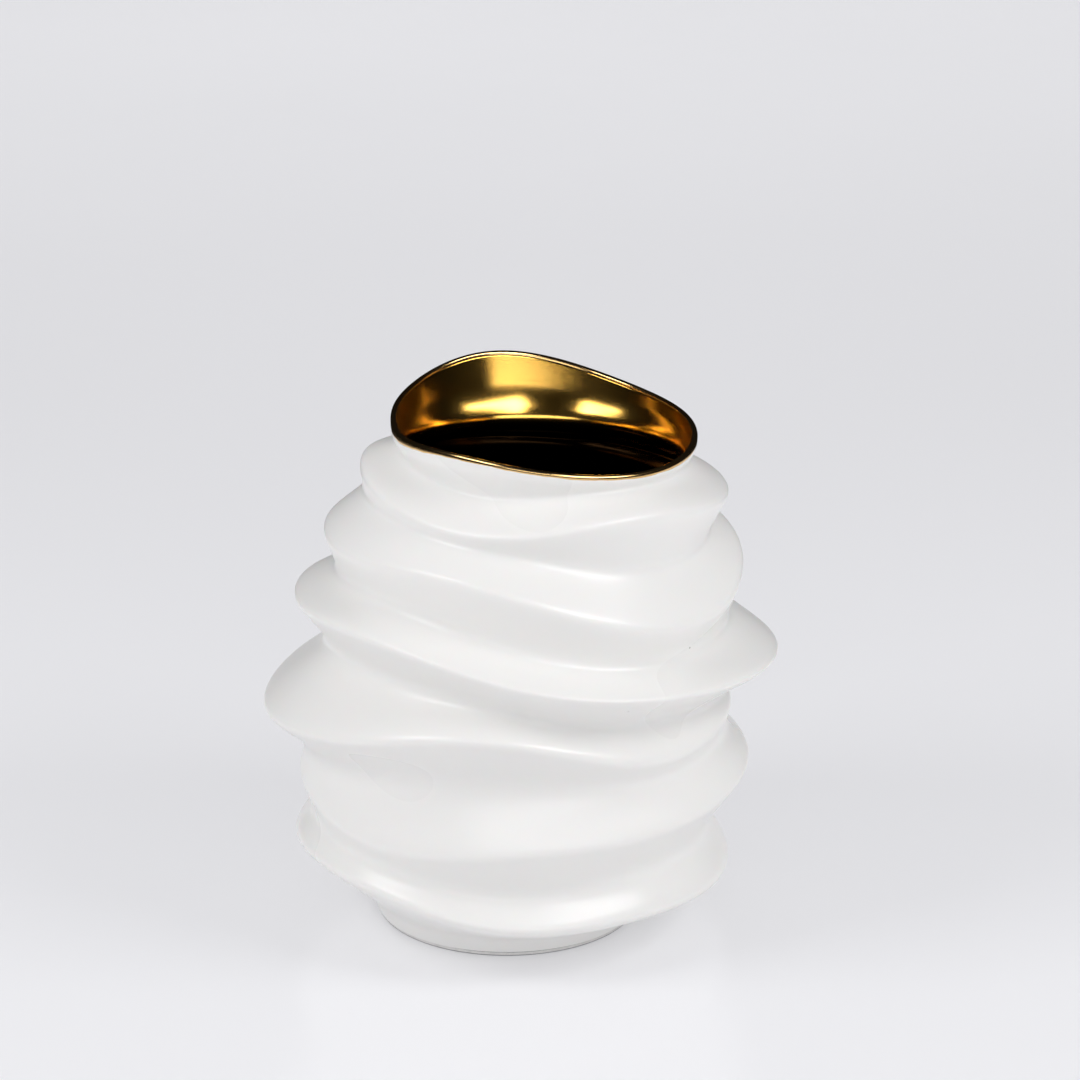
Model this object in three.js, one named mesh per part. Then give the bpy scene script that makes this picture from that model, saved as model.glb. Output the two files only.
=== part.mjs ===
// Porcelain vase with draped folds, a gilded lip and a gold inside.
//
// One slip cast porcelain body carries everything. Its wall is a stack of six sharp ridges with a
// groove under each, which run around the vase like loosely wound cloth, so every ridge and groove
// rises and falls on its way round. A gold film covers the lip and the whole inside, and a thin pad
// is glued under the foot.
//
// Frame: millimetres, +Z up, origin under the middle of the foot on the surface the vase stands on.
// -Y is the front and +X is the right. Directions around the vase are angles from the front,
// turning to the right.

import * as THREE from "three";

// Driving sizes.
const FOOT_REACH = 56;
const FOOT_COLLAR_HEIGHT = 10;
const FOOT_COLLAR_REACH = 57.5;
const FOOT_COLLAR_SOFT = 3;
const PAD_THICKNESS = 2;
const PAD_EDGE = 0.5;
const WALL = 3.2;
const LIP_WALL = 1.7;
const FLOOR = 5;
const FILM = 0.4;
const GAP = 0.3;
const LIP_HEIGHT = 4.2;
const BODY_BOTTOM = PAD_THICKNESS + GAP;

// How finely the surfaces are divided.
const SEGMENTS_AROUND = 48;
const LIP_ARC_STEPS = 5;
const WALL_SAMPLES = 6;
const BEND_ROW = 0.7;
const BEND_SHARE = 0.28;
const END_SOFT = 1;

// Heights of a line around the vase, one every 30 degrees, from the front (0) by the right side (90),
// the back (180) and the left side (270). Reach is the radius of the ring that the line follows in
// plan, shift is how far the ring's middle lies to the right of the foot's middle, and soft is how
// widely the corner along the line is rounded. Lean is how far the line lies outside its ring.
const RIM = {
  heights: [218.7, 214, 211.5, 213.8, 216.3, 222.2, 229.8, 228, 223.9, 221.3, 219.5, 220.5],
  lean: [0, 0, 0, 0, 1.5, 4, 5, 4, 1.5, 0, 0, 0],
  reach: 63.3, shift: 15.7,
};

// Where the neck starts to open towards the rim.
const FLARE = {
  heights: [213.5, 210, 208, 208, 207.5, 207.5, 208.5, 210, 212, 213.5, 213, 214],
  reach: 63, shift: 15.7, soft: 1.5,
};

// The waist of the neck, under the lip.
const NECK_HOLLOW = {
  heights: [203, 205, 204, 202, 200, 199.5, 200.5, 202, 205, 208.5, 206.5, 204],
  reach: 57.5, shift: 16.3, soft: 2,
};

// A ridge and a groove for each fold, from the top down.
const FOLDS = [
  { name: "ridge 1", reach: 78.5, shift: 16, soft: 2.5,
    heights: [193, 199, 196, 190, 189, 190, 193, 198, 203, 204.5, 200, 194] },
  { name: "groove 1", reach: 70, shift: 12, soft: 3,
    heights: [184, 176, 171, 173, 178, 182, 184, 184, 187, 189, 190, 189] },
  { name: "ridge 2", reach: 88.7, shift: 11.4, soft: 2.5,
    heights: [173, 157, 151, 160, 168, 172, 172, 170, 172, 174, 175, 178] },
  { name: "groove 2", reach: 78, shift: 11, soft: 4,
    heights: [145, 135, 133, 134, 139, 144, 146, 148, 151, 154, 156, 155] },
  { name: "ridge 3", reach: 104, shift: 13, soft: 2.5,
    heights: [140, 131, 125, 119, 114, 116, 124, 134, 142, 146, 150, 151] },
  { name: "groove 3", reach: 77.5, shift: 6, soft: 5,
    heights: [121, 112, 107, 102, 101, 104, 110, 116, 120, 124, 128, 127] },
  { name: "ridge 4", reach: 99.6, shift: -6, soft: 3.5,
    heights: [114, 99, 95, 96, 97, 100, 102, 101, 99, 96, 101, 110] },
  { name: "groove 4", reach: 81, shift: 2, soft: 8,
    heights: [93, 88, 86, 82, 84, 87, 88, 85, 81, 80, 85, 90] },
  { name: "ridge 5", reach: 95, shift: 8, soft: 3,
    heights: [62, 65, 69, 71, 73, 76, 75, 72, 69, 65, 62, 58] },
  { name: "groove 5", reach: 78, shift: 2.2, soft: 7,
    heights: [40, 42, 42, 42, 46, 50, 50, 48, 48, 49, 48, 44] },
  { name: "ridge 6", reach: 97.2, shift: 3.4, soft: 4,
    heights: [28, 27, 24, 21, 22, 25, 28, 31, 34, 37, 42, 38] },
];

// Every line from the rim down, and where the neck's hollow comes in that row.
const LINES = [RIM, FLARE, NECK_HOLLOW, ...FOLDS];
const HOLLOW_INDEX = LINES.indexOf(NECK_HOLLOW);

// Colour and sheen of each material.
const PORCELAIN = { color: 0xf1efec, roughness: 0.35, metalness: 0 };
const LIP_GOLD = { color: 0xb98b45, roughness: 0.22, metalness: 1 };
const INNER_GOLD = { color: 0xa67c3d, roughness: 0.35, metalness: 1 };
const PAD = { color: 0xe4e2dd, roughness: 0.8, metalness: 0 };

// The smooth closed curve through evenly spaced values around the vase, as a sum of waves.
function valueAround(values, angle) {
  const count = values.length;
  let sum = 0;
  values.forEach((value, index) => {
    const away = angle - (index * 2 * Math.PI) / count;
    const slope = Math.tan(away / 2);
    const weight = Math.abs(slope) < Number.EPSILON ? 1 : Math.sin((count * away) / 2) / (count * slope);
    sum += value * weight;
  });
  return sum;
}

// Distance from the foot's axis to a ring whose middle is shifted to the right.
function reachAround(line, angle) {
  const along = line.shift * Math.sin(angle);
  return along + Math.sqrt(line.reach ** 2 - line.shift ** 2 + along ** 2);
}

// The corner that a line makes in the outline at one angle.
function cornerOf(line, angle) {
  const lean = line.lean ? valueAround(line.lean, angle) : 0;
  return {
    height: valueAround(line.heights, angle),
    reach: reachAround(line, angle) + lean,
    soft: line.soft,
  };
}

// The folded outline at one angle as straight runs between corners, from the rim down to the foot.
function cornersAt(angle) {
  return [
    ...LINES.map((line) => cornerOf(line, angle)),
    { height: FOOT_COLLAR_HEIGHT, reach: FOOT_COLLAR_REACH, soft: FOOT_COLLAR_SOFT },
    { height: BODY_BOTTOM, reach: FOOT_REACH },
  ];
}

// Zero below zero and a straight rise above it, with the bend between them rounded.
function softRamp(distance, soft) {
  return (distance + Math.sqrt(distance ** 2 + soft ** 2)) / 2;
}

// Reach of the outer face at a height: each corner bends the straight run that comes from above.
function outerReach(corners, height) {
  const slopes = corners.slice(1).map((corner, index) => {
    const above = corners[index];
    return (above.reach - corner.reach) / (above.height - corner.height);
  });
  let reach = corners[0].reach + slopes[0] * (height - corners[0].height);
  for (let index = 1; index < slopes.length; index += 1) {
    const bend = slopes[index] - slopes[index - 1];
    reach -= bend * softRamp(corners[index].height - height, corners[index].soft);
  }
  return reach;
}

// Thickness of the wall, which gets thinner from the neck's hollow up to the lip.
function wallAt(corners, height) {
  const [rim] = corners;
  const hollow = corners[HOLLOW_INDEX];
  const share = (height - hollow.height) / (rim.height - hollow.height);
  return THREE.MathUtils.lerp(WALL, LIP_WALL, THREE.MathUtils.clamp(share, 0, 1));
}

// Reach of a face that stays a set distance inside the wall's inner face. The wall is measured
// square to the outer face.
function innerReach(corners, height, inside) {
  const distance = wallAt(corners, height) + inside;
  let nearest = Infinity;
  for (let sample = -WALL_SAMPLES; sample <= WALL_SAMPLES; sample += 1) {
    const turn = ((sample / WALL_SAMPLES) * Math.PI) / 2;
    const up = distance * Math.sin(turn);
    const inward = distance * Math.cos(turn);
    nearest = Math.min(nearest, outerReach(corners, height + up) - inward);
  }
  return nearest;
}

// Height of the porcelain's cut top, which the lip covers.
function wallTop(corners) {
  return corners[0].height - LIP_HEIGHT - GAP;
}

// Heights of the rows from the wall's top, past the hollow and every fold, to the bottom. Each run
// between two lines has a row in its middle, and a fine run and the neck's also have one beside
// each end, in the soft bend.
function rowHeights(corners, bottom, fine) {
  const ends = [
    { height: wallTop(corners), soft: END_SOFT },
    ...corners.slice(HOLLOW_INDEX).filter((corner) => corner.height > bottom),
    { height: bottom, soft: END_SOFT },
  ];
  const heights = ends.slice(1).flatMap((end, index) => {
    const above = ends[index];
    const drop = above.height - end.height;
    const beside = (soft) => Math.min(BEND_SHARE, (BEND_ROW * soft) / drop);
    const bends = fine || index === 0;
    const parts = bends ? [0, beside(above.soft), 0.5, 1 - beside(end.soft)] : [0, 0.5];
    return parts.map((part) => above.height - part * drop);
  });
  return [...heights, bottom];
}

// Triangles between neighbouring outlines. Every quad is split from its lower left to its upper
// right, so that two faces that run close together have the same facets and stay apart.
function facets(position, outlineLength) {
  const triangles = [];
  for (let segment = 0; segment < SEGMENTS_AROUND; segment += 1) {
    for (let index = 0; index < outlineLength - 1; index += 1) {
      const left = segment * outlineLength + index;
      const right = left + outlineLength;
      const rises = position.getY(left + 1) > position.getY(left);
      if (rises) {
        triangles.push(left, right, right + 1, left, right + 1, left + 1);
      } else {
        triangles.push(left, right, left + 1, right + 1, left + 1, right);
      }
    }
  }
  return triangles;
}

// A closed body turned around the axis, whose outline is different at every angle.
function turned(outlineAt) {
  const geometry = new THREE.LatheGeometry(outlineAt(0), SEGMENTS_AROUND);
  const position = geometry.getAttribute("position");
  const outlineLength = outlineAt(0).length;
  for (let segment = 0; segment <= SEGMENTS_AROUND; segment += 1) {
    const angle = ((segment % SEGMENTS_AROUND) / SEGMENTS_AROUND) * 2 * Math.PI;
    outlineAt(angle).forEach((point, index) => {
      const vertex = segment * outlineLength + index;
      position.setXYZ(vertex, point.x * Math.sin(angle), point.y, point.x * Math.cos(angle));
    });
  }
  geometry.setIndex(facets(position, outlineLength));
  geometry.rotateX(Math.PI / 2);
  geometry.computeVertexNormals();
  return geometry;
}

// Outline of the face that lies a distance inside the porcelain's inner one, from the wall's top
// down to a floor that is lifted off the porcelain's own floor, where it runs in to the axis.
function insideOutline(corners, inside) {
  const heights = rowHeights(corners, BODY_BOTTOM + FLOOR, false);
  heights[heights.length - 1] += inside;
  const outline = heights.map((height) => new THREE.Vector2(innerReach(corners, height, inside), height));
  return [...outline, new THREE.Vector2(0, BODY_BOTTOM + FLOOR + inside)];
}

// Outline of the porcelain: under the foot, up the folds, over the cut top and down the inside.
function bodyOutline(angle) {
  const corners = cornersAt(angle);
  const outside = rowHeights(corners, BODY_BOTTOM, true).map(
    (height) => new THREE.Vector2(outerReach(corners, height), height),
  );
  return [
    new THREE.Vector2(0, BODY_BOTTOM),
    ...outside.reverse(),
    ...insideOutline(corners, 0),
  ];
}

// Outline of the gold film on the inside: down against the porcelain and back up its own face.
function liningOutline(angle) {
  const corners = cornersAt(angle);
  const outside = insideOutline(corners, GAP);
  const inside = insideOutline(corners, GAP + FILM);
  return [...outside.reverse(), ...inside];
}

// Outline of the gilded lip: flat underneath, flush with the neck on both sides and half round on
// top.
function lipOutline(angle) {
  const corners = cornersAt(angle);
  const halfWidth = (LIP_WALL + GAP + FILM) / 2;
  const bottom = corners[0].height - LIP_HEIGHT;
  const arcHeight = corners[0].height - halfWidth;
  const middle = (outerReach(corners, arcHeight) + innerReach(corners, arcHeight, GAP + FILM)) / 2;
  const arc = [];
  for (let step = 0; step <= LIP_ARC_STEPS; step += 1) {
    const turn = (step / LIP_ARC_STEPS) * Math.PI;
    const out = halfWidth * Math.cos(turn);
    const up = halfWidth * Math.sin(turn);
    arc.push(new THREE.Vector2(middle + out, arcHeight + up));
  }
  const outerFoot = new THREE.Vector2(outerReach(corners, bottom), bottom);
  const innerFoot = new THREE.Vector2(innerReach(corners, bottom, GAP + FILM), bottom);
  return [outerFoot, ...arc, innerFoot, outerFoot.clone()];
}

// Outline of the pad: a thin disc whose two edges are slightly rounded.
function padOutline() {
  return [
    new THREE.Vector2(0, 0),
    new THREE.Vector2(FOOT_REACH - PAD_EDGE, 0),
    new THREE.Vector2(FOOT_REACH, PAD_EDGE),
    new THREE.Vector2(FOOT_REACH, PAD_THICKNESS - PAD_EDGE),
    new THREE.Vector2(FOOT_REACH - PAD_EDGE, PAD_THICKNESS),
    new THREE.Vector2(0, PAD_THICKNESS),
  ];
}

// One named piece with its own material.
function piece(name, outlineAt, look) {
  const mesh = new THREE.Mesh(turned(outlineAt), new THREE.MeshStandardMaterial(look));
  mesh.name = name;
  return mesh;
}

const vase = new THREE.Group();
vase.add(piece("porcelain_body", bodyOutline, PORCELAIN));
vase.add(piece("gold_lip", lipOutline, LIP_GOLD));
vase.add(piece("gold_lining", liningOutline, INNER_GOLD));
vase.add(piece("base_pad", padOutline, PAD));

export default vase;
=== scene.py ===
# Porcelain vase with draped folds, a gilded lip and a gold inside: the visual model and its studio.
# Metres, +Z up, -Y is the front. Sizes of the vase are given in millimetres and scaled by MM.
import math

import bpy
import numpy as np
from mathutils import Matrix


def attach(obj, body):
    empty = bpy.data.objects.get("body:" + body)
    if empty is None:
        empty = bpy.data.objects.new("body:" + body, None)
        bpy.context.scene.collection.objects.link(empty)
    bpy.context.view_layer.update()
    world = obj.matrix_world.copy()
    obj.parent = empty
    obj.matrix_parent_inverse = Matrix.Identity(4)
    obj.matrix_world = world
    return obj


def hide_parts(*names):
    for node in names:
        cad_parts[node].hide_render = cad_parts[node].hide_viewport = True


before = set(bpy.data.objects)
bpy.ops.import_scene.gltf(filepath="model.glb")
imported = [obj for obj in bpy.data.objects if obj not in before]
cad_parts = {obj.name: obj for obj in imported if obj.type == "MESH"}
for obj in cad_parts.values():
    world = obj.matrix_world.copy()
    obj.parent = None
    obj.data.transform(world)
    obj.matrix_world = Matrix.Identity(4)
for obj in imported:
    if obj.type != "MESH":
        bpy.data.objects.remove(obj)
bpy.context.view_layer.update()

MM = 0.001

# ---------------------------------------------------------------------------------------------
# Driving sizes, in millimetres
# ---------------------------------------------------------------------------------------------
FOOT_REACH = 56
FOOT_SOFT = 1
COLLAR_HEIGHT = 10
COLLAR_REACH = 57.5
COLLAR_SOFT = 3
PAD_THICKNESS = 2
PAD_EDGE = 0.5
# Share of the pad's height left pale between its dark edge bands of painted contact shadow and joint
# shade.
PAD_PALE_SHARE = 0.6
BODY_BOTTOM = 2.3
WALL = 3.2
LIP_WALL = 1.7
FLOOR = 5
GAP = 0.3
FILM = 0.4
LIP_HALF = 1.2

# How far the lip's gold goes down inside before the gold of the neck takes over.
LIP_INSIDE = 0.3

# How far the gold stands proud of the glaze at the lip, the hair's breadth between them, and the
# share of the band's height over which the gold gets to that thickness at its edge.
PROUD = 0.08
UNDER = 0.02
BAND_EDGE_SHARE = 0.2

# Height of the gold band outside the lip at twelve even places around, and its small waves as
# (waves around, height, start).
BAND = (1.9, 2.0, 2.3, 3.1, 3.3, 3.3, 3.3, 3.3, 3.4, 3.6, 3.3, 2.2)
BAND_WAVES = ((17, 0.09, 0.4), (29, 0.06, 1.9), (47, 0.05, 2.6), (83, 0.03, 0.7))

# Painted shade inside the body: the gold is painted dark from this far above the waist of the neck to
# this far below it.
WAIST_SHADE_FADE = (0, 5)

# How finely the surfaces are divided.
AROUND = 360
OUTER_ROWS = 22
INNER_ROWS = 8
WALL_SAMPLES = 9
ROW_CROWDING = 0.75
LIP_STEPS = 24
HIDDEN_EDGE_STEPS = 8
PAD_EDGE_STEPS = 4

# Heights of a line around the vase, one every 30 degrees, from the front (0) by the right side (90),
# the back (180) and the left side (270). Reach is the radius of the ring that the line follows in
# plan, shift is how far the ring's middle lies to the right of the foot's middle, and soft is how
# widely the corner along the line is rounded. Lean is how far the rim lies outside its ring.
RIM = dict(
    heights=(218.7, 214, 211.5, 213.8, 216.3, 222.2, 229.8, 228.0, 223.9, 221.3, 219.5, 220.5),
    lean=(0, 0, 0, 0, 1.5, 4, 5, 4, 1.5, 0, 0, 0),
    reach=63.3, shift=15.7, soft=1,
)
FLARE = dict(
    heights=(213.5, 210, 208, 208, 207.5, 207.5, 208.5, 210, 212, 213.5, 213, 214),
    reach=63, shift=15.7, soft=1.5,
)
LINES = (
    # neck hollow
    dict(reach=57.5, shift=16.3, soft=2,
         heights=(203, 205, 204, 202, 200, 199.5, 200.5, 202, 205, 208.5, 206.5, 204)),
    # ridge and groove 1
    dict(reach=78.5, shift=16, soft=2.5,
         heights=(193, 199, 196, 190, 189, 190, 193, 198, 203, 204.5, 200, 194)),
    dict(reach=70, shift=12, soft=3,
         heights=(184, 176, 171, 173, 178, 182, 184, 184, 187, 189, 190, 189)),
    # ridge and groove 2
    dict(reach=88.7, shift=11.4, soft=2.5,
         heights=(173, 157, 151, 160, 168, 172, 172, 170, 172, 174, 175, 178)),
    dict(reach=78, shift=11, soft=4,
         heights=(145, 135, 133, 134, 139, 144, 146, 148, 151, 154, 156, 155)),
    # ridge and groove 3
    dict(reach=104, shift=13, soft=2.5,
         heights=(140, 131, 125, 119, 114, 116, 124, 134, 142, 146, 150, 151)),
    dict(reach=77.5, shift=6, soft=5,
         heights=(121, 112, 107, 102, 101, 104, 110, 116, 120, 124, 128, 127)),
    # ridge and groove 4
    dict(reach=99.6, shift=-6, soft=3.5,
         heights=(114, 99, 95, 96, 97, 100, 102, 101, 99, 96, 101, 110)),
    dict(reach=81, shift=2, soft=8,
         heights=(93, 88, 86, 82, 84, 87, 88, 85, 81, 80, 85, 90)),
    # ridge and groove 5
    dict(reach=95, shift=8, soft=3,
         heights=(62, 65, 69, 71, 73, 76, 75, 72, 69, 65, 62, 58)),
    dict(reach=78, shift=2.2, soft=7,
         heights=(40, 42, 42, 42, 46, 50, 50, 48, 48, 49, 48, 44)),
    # ridge 6
    dict(reach=97.2, shift=3.4, soft=4,
         heights=(28, 27, 24, 21, 22, 25, 28, 31, 34, 37, 42, 38)),
)

# A line that names no lean has none, and the neck's hollow comes third in the row from the rim.
NO_LEAN = (0,) * len(RIM["heights"])
HOLLOW_INDEX = 2

# A slope smaller than this counts as zero.
NEARLY_ZERO = 1e-9

ANGLES = np.arange(AROUND) * 2 * math.pi / AROUND


# ---------------------------------------------------------------------------------------------
# The folded outline
# ---------------------------------------------------------------------------------------------
def value_around(values, angles):
    """The smooth closed curve through evenly spaced values around the vase, as a sum of waves."""
    count = len(values)
    total = np.zeros_like(angles)
    for index, value in enumerate(values):
        away = angles - index * 2 * math.pi / count
        slope = np.tan(away / 2)
        on_station = np.abs(slope) < NEARLY_ZERO
        slope = np.where(on_station, 1, slope)
        total += value * np.where(on_station, 1, np.sin(count * away / 2) / (count * slope))
    return total


def reach_around(line, angles):
    """Distance from the foot's axis to a ring whose middle is shifted to the right."""
    along = line["shift"] * np.sin(angles)
    ring = along + np.sqrt(line["reach"] ** 2 - line["shift"] ** 2 + along**2)
    return ring + value_around(line.get("lean", NO_LEAN), angles)


def corners_around(angles):
    """Heights, reaches and softness of the outline's corners, from the rim down to the foot."""
    lines = (RIM, FLARE, *LINES)
    heights = [value_around(line["heights"], angles) for line in lines]
    reaches = [reach_around(line, angles) for line in lines]
    softs = [line["soft"] for line in lines]
    foot = ((COLLAR_HEIGHT, COLLAR_REACH, COLLAR_SOFT), (BODY_BOTTOM, FOOT_REACH, FOOT_SOFT))
    for height, reach, soft in foot:
        heights.append(np.full_like(angles, height))
        reaches.append(np.full_like(angles, reach))
        softs.append(soft)
    return np.array(heights), np.array(reaches), np.array(softs)


CORNERS = corners_around(ANGLES)


def outer_reach(heights):
    """Reach of the outer face. Each corner bends the straight run that comes from above it."""
    corner_heights, corner_reaches, softs = CORNERS
    slopes = np.diff(corner_reaches, axis=0) / np.diff(corner_heights, axis=0)
    reach = corner_reaches[0] + slopes[0] * (heights - corner_heights[0])
    for index in range(1, len(slopes)):
        below = corner_heights[index] - heights
        ramp = (below + np.sqrt(below**2 + softs[index] ** 2)) / 2
        reach = reach - (slopes[index] - slopes[index - 1]) * ramp
    return reach


def inner_reach(heights, inside):
    """Reach of a face that stays a set distance inside the wall's inner face. The wall itself is
    measured square to the outer face, and gets thinner from the neck's hollow up to the lip."""
    rim, hollow = CORNERS[0][0], CORNERS[0][HOLLOW_INDEX]
    distance = inside + WALL + (LIP_WALL - WALL) * np.clip((heights - hollow) / (rim - hollow), 0, 1)
    nearest = np.full_like(heights, np.inf)
    for turn in np.linspace(-math.pi / 2, math.pi / 2, 2 * WALL_SAMPLES + 1):
        up = distance * math.sin(turn)
        nearest = np.minimum(nearest, outer_reach(heights + up) - distance * math.cos(turn))
    return nearest


def row_heights(top, bottom, per_run):
    """Rows from the top to the bottom, closer together in the bends at the corners."""
    corner_heights = CORNERS[0]
    inside = [row for row in corner_heights[HOLLOW_INDEX:] if row.min() > bottom]
    ends = [top, *inside, np.full_like(ANGLES, bottom)]
    steps = np.arange(per_run) / per_run
    eased = steps - ROW_CROWDING * np.sin(2 * math.pi * steps) / (2 * math.pi)
    rows = [high + part * (low - high) for high, low in zip(ends, ends[1:]) for part in eased]
    return np.array([*rows, ends[-1]])


# ---------------------------------------------------------------------------------------------
# Mesh building
# ---------------------------------------------------------------------------------------------
def turned(name, heights, reaches, closed):
    """A closed body turned around the axis. Rows go up the outside and down the inside. With
    closed, the last row joins the first; otherwise both end rows are filled to the axis."""
    rows = len(heights)
    x = reaches * np.sin(ANGLES)
    y = -reaches * np.cos(ANGLES)
    points = np.stack([x, y, heights], axis=-1).reshape(-1, 3) * MM
    this = np.arange(AROUND)
    after = np.roll(this, -1)
    faces = []
    for row in range(rows if closed else rows - 1):
        low = row * AROUND
        high = (row + 1) % rows * AROUND
        faces.append(np.stack([low + this, low + after, high + after, high + this], axis=-1))
    faces = np.concatenate(faces).tolist()
    points = points.tolist()
    if not closed:
        for row, order in ((0, -1), (rows - 1, 1)):
            centre = len(points)
            points.append([0, 0, float(heights[row].mean()) * MM])
            ring = row * AROUND
            for left, right in zip(this.tolist(), after.tolist()):
                pair = [ring + left, ring + right][::order]
                faces.append([centre, *pair])
    mesh = bpy.data.meshes.new(name)
    mesh.from_pydata(points, [], faces)
    mesh.validate()
    mesh.polygons.foreach_set("use_smooth", [True] * len(mesh.polygons))
    piece = bpy.data.objects.new(name, mesh)
    bpy.context.scene.collection.objects.link(piece)
    return piece


# ---------------------------------------------------------------------------------------------
# Materials
# ---------------------------------------------------------------------------------------------
class Nodes:
    """A new material's node tree, with short calls for adding and linking nodes."""

    def __init__(self, name):
        self.material = bpy.data.materials.new(name)
        self.material.use_nodes = True
        self.tree = self.material.node_tree
        self.shader = self.tree.nodes["Principled BSDF"]
        self.place = self.add("ShaderNodeTexCoord").outputs["Object"]

    def add(self, kind, **settings):
        node = self.tree.nodes.new(kind)
        for key, value in settings.items():
            setattr(node, key, value)
        return node

    def link(self, source, target):
        self.tree.links.new(source, target)

    def noise(self, scale, detail):
        """Noise with that many lumps to a metre, 0 to 1."""
        node = self.add("ShaderNodeTexNoise")
        node.inputs["Scale"].default_value = scale
        node.inputs["Detail"].default_value = detail
        self.link(self.place, node.inputs["Vector"])
        return node.outputs["Fac"]

    def mix(self, factor, low, high):
        """A colour between two others, each a socket or an even colour."""
        node = self.add("ShaderNodeMix", data_type="RGBA")
        self.link(factor, node.inputs["Factor"])
        for socket, colour in ((node.inputs["A"], low), (node.inputs["B"], high)):
            if isinstance(colour, tuple):
                socket.default_value = (*colour, 1)
            else:
                self.link(colour, socket)
        return node.outputs["Result"]

    def compute(self, operation, first, *others):
        """A Math node on a socket, with sockets or numbers as its other values."""
        node = self.add("ShaderNodeMath", operation=operation)
        self.link(first, node.inputs[0])
        for index, other in enumerate(others, start=1):
            if isinstance(other, float):
                node.inputs[index].default_value = other
            else:
                self.link(other, node.inputs[index])
        return node.outputs[0]

    def between(self, value, low, high):
        """Maps a 0 to 1 value onto a range."""
        node = self.add("ShaderNodeMapRange")
        node.inputs["To Min"].default_value = low
        node.inputs["To Max"].default_value = high
        self.link(value, node.inputs["Value"])
        return node.outputs["Result"]

    def ramp(self, value, *stops):
        """Colours along a 0 to 1 value, as (position, colour) stops."""
        node = self.add("ShaderNodeValToRGB")
        elements = node.color_ramp.elements
        for index, (position, colour) in enumerate(stops):
            element = elements[index] if index < 2 else elements.new(position)
            element.position = position
            element.color = (*colour, 1)
        self.link(value, node.inputs["Fac"])
        return node.outputs["Color"]

    def bump(self, height, depth):
        """Bumps of that depth in metres on the shader's surface."""
        node = self.add("ShaderNodeBump")
        node.inputs["Strength"].default_value = 1
        node.inputs["Distance"].default_value = depth
        self.link(height, node.inputs["Height"])
        self.link(node.outputs["Normal"], self.shader.inputs["Normal"])

    def set(self, **values):
        """Even values, on the shader's own sockets."""
        for key, value in values.items():
            self.shader.inputs[key.replace("_", " ")].default_value = value


def pinholes(nodes, cells, size, share):
    """1 in the rare pinholes of the glaze and 0 elsewhere: one cell in so many has a round hole."""
    pits = nodes.add("ShaderNodeTexVoronoi")
    pits.inputs["Scale"].default_value = cells
    nodes.link(nodes.place, pits.inputs["Vector"])
    chance = nodes.add("ShaderNodeSeparateColor")
    nodes.link(pits.outputs["Color"], chance.inputs["Color"])
    near = nodes.compute("LESS_THAN", pits.outputs["Distance"], size)
    rare = nodes.compute("GREATER_THAN", chance.outputs["Red"], 1 - share)
    return nodes.compute("MULTIPLY", near, rare)


def porcelain_material():
    """White glaze, very slightly uneven in colour, gloss and height, with rare dark pinholes."""
    nodes = Nodes("white_porcelain")
    dark, light, pit = (0.86, 0.852, 0.83), (0.874, 0.866, 0.844), (0.25, 0.22, 0.18)
    tone = nodes.ramp(nodes.noise(6, 0), (0, dark), (1, light))
    holes = pinholes(nodes, cells=38, size=0.014, share=0.2)
    nodes.link(nodes.mix(holes, tone, pit), nodes.shader.inputs["Base Color"])
    nodes.link(nodes.between(nodes.noise(12, 0), 0.26, 0.3), nodes.shader.inputs["Roughness"])
    nodes.bump(nodes.noise(30, 0), 0.00012)
    nodes.set(IOR=1.5, Specular_IOR_Level=0.3, Subsurface_Weight=0.08, Subsurface_Scale=0.002)
    return nodes.material


def gold_material(name, dark, light, smooth, rough, grain_depth, painted_shade=None):
    """Fired gold film: a slightly uneven colour and sheen, with a fine grain. An optional last colour
    is painted shade: the gold takes that near black colour where the mesh's depth is 1, and a mix of
    the two where it is less."""
    nodes = Nodes(name)
    tone = nodes.ramp(nodes.noise(35, 4), (0.3, dark), (0.7, light))
    # Painted shade: the gold is mixed towards the near black colour deep inside the body.
    if painted_shade is not None:
        depth = nodes.add("ShaderNodeAttribute", attribute_name="depth")
        tone = nodes.mix(depth.outputs["Fac"], tone, painted_shade)
    nodes.link(tone, nodes.shader.inputs["Base Color"])
    sheen = nodes.between(nodes.noise(90, 3), smooth, rough)
    nodes.link(sheen, nodes.shader.inputs["Roughness"])
    nodes.bump(nodes.noise(3000, 1), grain_depth)
    nodes.set(Metallic=1.0)
    return nodes.material


def lip_gold_material():
    dark, light = (0.84, 0.54, 0.22), (0.92, 0.62, 0.28)
    return gold_material("lip_gold", dark, light, smooth=0.16, rough=0.2, grain_depth=0.000003)


def inner_gold_material():
    # The third colour is painted shade, near black, for the gold deep inside below the neck's waist.
    dark, light, painted_shade = (0.72, 0.41, 0.08), (0.8, 0.47, 0.1), (0.01, 0.005, 0.002)
    return gold_material("inner_gold", dark, light, smooth=0.13, rough=0.16, grain_depth=0.00002,
                         painted_shade=painted_shade)


def pad_material():
    """Pale pad, with a near black band along its lower edge that is painted contact shadow on the
    table, and one along its upper edge that is the dark joint with the foot together with painted
    shade in that crevice.
    """
    nodes = Nodes("pad")
    dark, light, line = (0.7, 0.69, 0.67), (0.8, 0.79, 0.77), (0.09, 0.09, 0.11)
    tone = nodes.ramp(nodes.noise(300, 4), (0.3, dark), (0.7, light))
    place = nodes.add("ShaderNodeSeparateXYZ")
    nodes.link(nodes.place, place.inputs["Vector"])
    # Painted contact shadow below and joint shade above: outside the pale middle band the pad takes
    # the near black colour.
    middle = PAD_THICKNESS / 2 * MM
    pale = nodes.compute("COMPARE", place.outputs["Z"], middle, middle * PAD_PALE_SHARE)
    nodes.link(nodes.mix(pale, line, tone), nodes.shader.inputs["Base Color"])
    nodes.link(nodes.between(nodes.noise(500, 2), 0.75, 0.95), nodes.shader.inputs["Roughness"])
    nodes.bump(nodes.noise(1400, 3), 0.0001)
    return nodes.material


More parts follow.
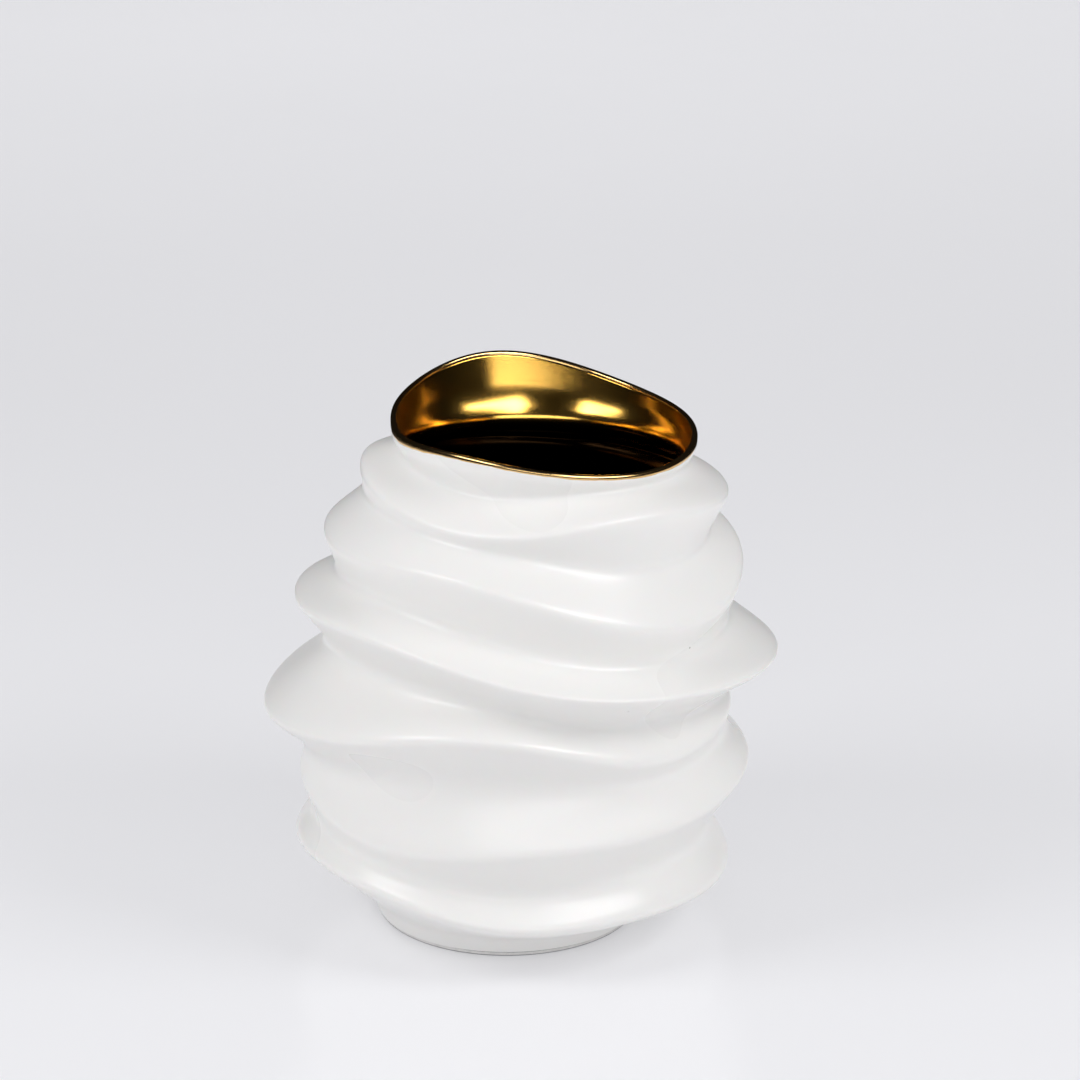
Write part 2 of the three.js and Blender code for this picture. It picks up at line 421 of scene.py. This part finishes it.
def table_material():
    """Pale glossy table top, softly lit from below, that runs up into the backdrop."""
    nodes = Nodes("pale_table")
    dark, light = (0.6, 0.6, 0.612), (0.61, 0.61, 0.622)
    nodes.link(nodes.ramp(nodes.noise(2, 0), (0.3, dark), (0.7, light)),
               nodes.shader.inputs["Base Color"])
    nodes.link(nodes.between(nodes.noise(9, 2), 0.16, 0.22), nodes.shader.inputs["Roughness"])
    nodes.set(IOR=1.25, Emission_Color=(0.975, 0.975, 1, 1), Emission_Strength=0.29)
    return nodes.material


# ---------------------------------------------------------------------------------------------
# Pieces of the vase
# ---------------------------------------------------------------------------------------------
def finish_piece(piece, material, node):
    piece.data.materials.append(material)
    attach(piece, "root")
    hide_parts(node)


def rounded_top(outer, inner, height, rise, steps):
    """Heights and reaches of a half round edge from an outer reach over the top to an inner one."""
    turns = np.linspace(0, math.pi, steps + 1)[:, None]
    middle, half = (outer + inner) / 2, (outer - inner) / 2
    return height + rise * np.sin(turns), middle + half * np.cos(turns)


def make_porcelain():
    """The whole casting: foot, six folds and neck outside, and the wall's inner face. Its rounded
    top lies under the gold of the lip."""
    top = CORNERS[0][0] - LIP_HALF
    outside = row_heights(top, BODY_BOTTOM, OUTER_ROWS)[::-1]
    inside = row_heights(top, BODY_BOTTOM + FLOOR, INNER_ROWS)
    edge, edge_reach = rounded_top(
        outer_reach(top), inner_reach(top, 0), top, LIP_WALL / 2, HIDDEN_EDGE_STEPS
    )
    heights = np.concatenate([outside, edge[1:-1], inside])
    reaches = np.concatenate([outer_reach(outside), edge_reach[1:-1], inner_reach(inside, 0)])
    return turned("porcelain_shell", heights, reaches, closed=False)


def make_lining():
    """The gold film over the inside, down to the floor, painted dark as shade below the neck's waist.
    """
    top = CORNERS[0][0] - LIP_HALF - LIP_INSIDE - UNDER
    rows = row_heights(top, BODY_BOTTOM + FLOOR, OUTER_ROWS // 2)
    outside = rows.copy()
    outside[-1] += GAP / 2
    inside = rows.copy()
    inside[-1] += GAP / 2 + FILM
    heights = np.concatenate([outside[::-1], inside])
    reaches = np.concatenate(
        [inner_reach(outside, GAP / 2)[::-1], inner_reach(inside, GAP + FILM)]
    )
    lining = turned("inner_gilding", heights, reaches, closed=False)
    # Painted shade: depth is 0 above the fade and 1 below it, how far the gold is painted towards
    # near black.
    above, under = WAIST_SHADE_FADE
    waist = CORNERS[0][HOLLOW_INDEX]
    below = np.clip((waist + above - heights) / (above + under), 0, 1)
    depth = lining.data.attributes.new("depth", "FLOAT", "POINT")
    depth.data.foreach_set("value", [*below.ravel().tolist(), 1.0, 1.0])
    return lining


def gold_band():
    """Height of the gold on the outside of the lip, with the unsteady edge of a hand painted band."""
    band = value_around(BAND, ANGLES)
    for waves, height, start in BAND_WAVES:
        band = band + height * np.sin(waves * ANGLES + start)
    return band


def make_lip():
    """The gilded lip: a half round bead over the wall's top, which runs out on the outside in a
    thin band over the porcelain, and on the inside meets the gold of the neck."""
    rim = CORNERS[0][0]
    top = rim - LIP_HALF
    band = gold_band() - LIP_HALF
    outer_parts = np.array([0, 0.06, BAND_EDGE_SHARE, 0.45, 0.75, 1])[:, None]
    outside = top - band * (1 - outer_parts)
    raised = PROUD * np.minimum(1, outer_parts / BAND_EDGE_SHARE)
    inside = top - LIP_INSIDE * np.linspace(0, 1, 3)[:, None]
    bead, bead_reach = rounded_top(
        outer_reach(top) + PROUD, inner_reach(top, GAP + FILM), top, LIP_HALF, LIP_STEPS
    )
    core, core_reach = rounded_top(
        outer_reach(top) + UNDER, inner_reach(top, -UNDER), top, LIP_WALL / 2 + UNDER,
        HIDDEN_EDGE_STEPS,
    )
    heights = np.concatenate([outside[:-1], bead, inside[1:], inside[::-1], core[::-1][1:-1],
                              outside[::-1][:-1]])
    reaches = np.concatenate([
        outer_reach(outside[:-1]) + UNDER + raised[:-1],
        bead_reach,
        inner_reach(inside[1:], GAP + FILM),
        inner_reach(inside[::-1], UNDER),
        core_reach[::-1][1:-1],
        outer_reach(outside[::-1][:-1]) + UNDER,
    ])
    return turned("lip_gilding", heights, reaches, closed=True)


def make_pad():
    """The thin pad under the foot, with rounded edges."""
    heights = [0.0]
    reaches = [FOOT_REACH - PAD_EDGE]
    lower = np.linspace(-math.pi / 2, 0, PAD_EDGE_STEPS + 1)[1:]
    upper = np.linspace(0, math.pi / 2, PAD_EDGE_STEPS + 1)
    for turns, middle in ((lower, PAD_EDGE), (upper, PAD_THICKNESS - PAD_EDGE)):
        for turn in turns:
            heights.append(middle + PAD_EDGE * math.sin(turn))
            reaches.append(FOOT_REACH - PAD_EDGE + PAD_EDGE * math.cos(turn))
    full = np.ones_like(ANGLES)
    return turned("foot_pad", np.outer(heights, full), np.outer(reaches, full), closed=False)


# ---------------------------------------------------------------------------------------------
# Studio, in metres and degrees
# ---------------------------------------------------------------------------------------------
CAMERA_PLACE = (0.014, -1.430, 0.661)
CAMERA_TILT = 70.9
CAMERA_LENS = 120
CAMERA_SENSOR = 36

# Lamps as name, angle from the front, angle above the table, distance, width, height and radiance.
# The mirrored ones only show as reflections, and the others give light and make no reflection.
MIRRORED_LAMPS = (
    ("mirrored_left", -52, 46, 1.5, 0.8, 0.4, 8),
    ("mirrored_right", 50, 42, 1.5, 1.2, 0.45, 8),
    ("mirrored_front", 8, 14, 1.9, 2.6, 0.36, 3.5),
)
FILL_LAMPS = (
    ("fill_left", -65, 40, 1.3, 0.6, 0.45, 5.8),
    ("fill_right", 65, 40, 1.3, 0.6, 0.45, 5.8),
    ("fill_front", 5, 12, 1.5, 1.6, 0.4, 1.2),
)
BACKDROP_LAMP = ("fill_backdrop", 0, 50, 1.5, 2.6, 0.8, 2.8)
VASE_MIDDLE = (0.005, 0.0, 0.12)
BACKDROP_MIDDLE = (0.0, 2.6, 0.6)

# Strength of the light from all round, and how bright the glossy surfaces reflect it.
ROOM_LIGHT = 0.54
ROOM_REFLECTED = 0.008


def make_ring(name, outline, material):
    """A pale surface turned around the axis, from the first point of its outline to the last."""
    points = []
    sides = 96
    for reach, height in outline:
        for side in range(sides):
            turn = 2 * math.pi * side / sides
            points.append((reach * math.cos(turn), reach * math.sin(turn), height))
    faces = []
    for ring in range(len(outline) - 1):
        low = ring * sides
        for side in range(sides):
            after = (side + 1) % sides
            faces.append((low + side, low + sides + side, low + sides + after, low + after))
    mesh = bpy.data.meshes.new(name)
    mesh.from_pydata(points, [], faces)
    mesh.polygons.foreach_set("use_smooth", [True] * len(mesh.polygons))
    ring = bpy.data.objects.new(name, mesh)
    bpy.context.scene.collection.objects.link(ring)
    ring.data.materials.append(material)
    return ring


def make_table():
    """A round pale table, and around it a pale sweep that curves up into a low backdrop. The sweep
    stays out of reflections, so that the gold reflects the dark room beyond the table."""
    centre, near_reach, table_reach, far_reach, floor_reach = 0.0005, 0.2, 0.6, 1.2, 2.2
    bend, bend_steps, wall = 0.5, 12, 0.55
    material = table_material()
    make_ring("table", [(centre, 0.0), (near_reach, 0.0), (table_reach, 0.0)], material)
    outline = [(table_reach, 0.0), (far_reach, 0.0), (floor_reach, 0.0)]
    for turn in np.linspace(0, math.pi / 2, bend_steps + 1)[1:]:
        outline.append((floor_reach + bend * math.sin(turn), bend - bend * math.cos(turn)))
    outline.append((floor_reach + bend, bend + wall))
    sweep = make_ring("sweep", outline, material)
    sweep.visible_glossy = False


def make_softbox(name, azimuth, elevation, distance, width, height, radiance, mirrored, aim):
    """A rectangular lamp that faces the place it is aimed at. A mirrored one only shows as a
    reflection, and any other gives light and makes no reflection."""
    lamp = bpy.data.lights.new(name, "AREA")
    lamp.shape = "RECTANGLE"
    lamp.size = width
    lamp.size_y = height
    lamp.energy = radiance * math.pi * width * height
    turn, rise = math.radians(azimuth), math.radians(elevation)
    way = np.array([
        math.sin(turn) * math.cos(rise),
        -math.cos(turn) * math.cos(rise),
        math.sin(rise),
    ])
    holder = bpy.data.objects.new(name, lamp)
    holder.location = np.array(aim) + way * distance
    holder.rotation_euler = (math.pi / 2 - rise, 0, turn)
    holder.visible_camera = False
    holder.visible_glossy = mirrored
    holder.visible_diffuse = not mirrored
    bpy.context.scene.collection.objects.link(holder)


def make_world():
    """An even soft light from all round, which the glossy surfaces reflect as a dim room."""
    world = bpy.data.worlds.new("room")
    world.use_nodes = True
    tree = world.node_tree
    background = tree.nodes["Background"]
    background.inputs["Color"].default_value = (0.97, 0.97, 1.0, 1)
    rays = tree.nodes.new("ShaderNodeLightPath")
    strength = tree.nodes.new("ShaderNodeMapRange")
    strength.inputs["To Min"].default_value = ROOM_LIGHT
    strength.inputs["To Max"].default_value = ROOM_REFLECTED
    tree.links.new(rays.outputs["Is Glossy Ray"], strength.inputs["Value"])
    tree.links.new(strength.outputs["Result"], background.inputs["Strength"])
    bpy.context.scene.world = world


def make_camera():
    camera = bpy.data.cameras.new("camera")
    camera.sensor_width = CAMERA_SENSOR
    camera.lens = CAMERA_LENS
    holder = bpy.data.objects.new("camera", camera)
    holder.location = CAMERA_PLACE
    holder.rotation_euler = (math.radians(CAMERA_TILT), 0, 0)
    bpy.context.scene.collection.objects.link(holder)
    bpy.context.scene.camera = holder


make_camera()
finish_piece(make_porcelain(), porcelain_material(), "porcelain_body")
finish_piece(make_lip(), lip_gold_material(), "gold_lip")
finish_piece(make_lining(), inner_gold_material(), "gold_lining")
finish_piece(make_pad(), pad_material(), "base_pad")
make_table()
make_world()
for lamp in MIRRORED_LAMPS:
    make_softbox(*lamp, mirrored=True, aim=VASE_MIDDLE)
for lamp in FILL_LAMPS:
    make_softbox(*lamp, mirrored=False, aim=VASE_MIDDLE)
make_softbox(*BACKDROP_LAMP, mirrored=False, aim=BACKDROP_MIDDLE)
bpy.context.scene.view_settings.view_transform = "Standard"
